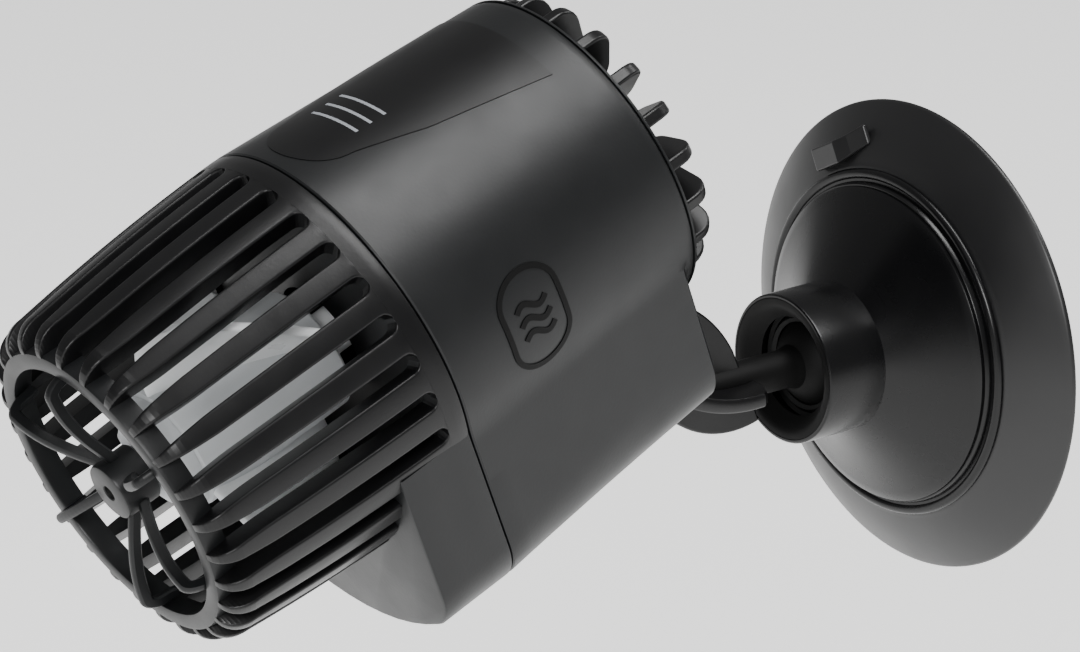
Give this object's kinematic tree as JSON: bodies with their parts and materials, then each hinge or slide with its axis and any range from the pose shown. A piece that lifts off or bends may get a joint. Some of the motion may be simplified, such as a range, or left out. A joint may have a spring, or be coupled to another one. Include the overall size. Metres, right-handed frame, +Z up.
{
  "type": "wave maker pump",
  "caption": "Submersible aquarium wave maker pump: slotted guard and propeller on a sealed motor, aimed by a ball swivel on a suction cup.",
  "frame": {"origin": "centre of the suction cup's sealing face", "axes": "+Y into the wall that the cup is stuck to, +Z up, +X to the right of someone who faces the wall; the pump blows towards -Y and down"},
  "size_m": [0.074, 0.1567, 0.1032],
  "materials": {
    "housing_plastic": "satin moulded charcoal",
    "guard_plastic": "satin moulded dark charcoal",
    "ring_plastic": "satin moulded",
    "propeller_plastic": "smooth white",
    "bush": "ground",
    "shaft_ceramic": "polished",
    "magnet": "ground ferrite",
    "can_plastic": "moulded",
    "seal_rubber": "matte",
    "stator_steel": "laminated",
    "winding_copper": "enamelled copper wire",
    "screw_steel": "stainless",
    "label": "smooth printed film",
    "base_plastic": "polished black",
    "pad_rubber": "matte",
    "cup_rubber": "smooth soft black"
  },
  "bodies": {
    "base": {"suction_cup": "cup_rubber", "suction_base": "base_plastic", "cup_ring": "base_plastic", "clamp_ring": "base_plastic"},
    "yaw_pad": {"socket_pad": "pad_rubber"},
    "pitch_shell": {"socket_shell": "can_plastic"},
    "pump": {"swivel_stem": "guard_plastic", "stem_screws": "screw_steel", "motor_housing": "housing_plastic", "front_plate": "guard_plastic", "o_ring": "seal_rubber", "rotor_can": "can_plastic", "shaft": "shaft_ceramic", "rear_bush": "bush", "stator_core": "stator_steel", "windings": "winding_copper", "stator_cradle": "guard_plastic", "rear_cap": "housing_plastic", "cap_screws": "screw_steel", "cord_gland": "seal_rubber", "label_panel": "label", "badge_right": "label", "badge_left": "label"},
    "rotor": {"rotor_magnet": "magnet", "rotor_sleeve": "propeller_plastic"},
    "impeller": {"propeller": "propeller_plastic", "prop_nose": "propeller_plastic"},
    "guard": {"guard_cage": "guard_plastic", "front_ring": "ring_plastic", "guard_spider": "ring_plastic", "front_bush": "bush"}
  },
  "joints": [
    {"name": "head_yaw", "type": "hinge", "parent": "base", "child": "yaw_pad", "pos_m": [0, -0.018, 0], "axis": [0, 0, 1], "range_deg": [-20, 20]},
    {"name": "head_pitch", "type": "hinge", "parent": "yaw_pad", "child": "pitch_shell", "pos_m": [0, -0.018, 0], "axis": [1, 0, 0], "range_deg": [-22, 22]},
    {"name": "head_roll", "type": "hinge", "parent": "pitch_shell", "child": "pump", "pos_m": [0, -0.018, 0], "axis": [0, 1, 0], "range_deg": [-180, 180]},
    {"name": "rotor_spin", "type": "hinge", "parent": "pump", "child": "rotor", "pos_m": [0, -0.10878, 0.02448], "axis": [0, -0.9205, -0.3907], "continuous": true},
    {"name": "prop_lost_motion", "type": "hinge", "parent": "rotor", "child": "impeller", "pos_m": [0, -0.10878, 0.02448], "axis": [0, -0.9205, -0.3907], "range_deg": [-78, 98]},
    {"name": "guard_pull", "type": "slide", "parent": "pump", "child": "guard", "axis": [0, -0.9205, -0.3907], "range_m": [0, 0.06]}
  ]
}
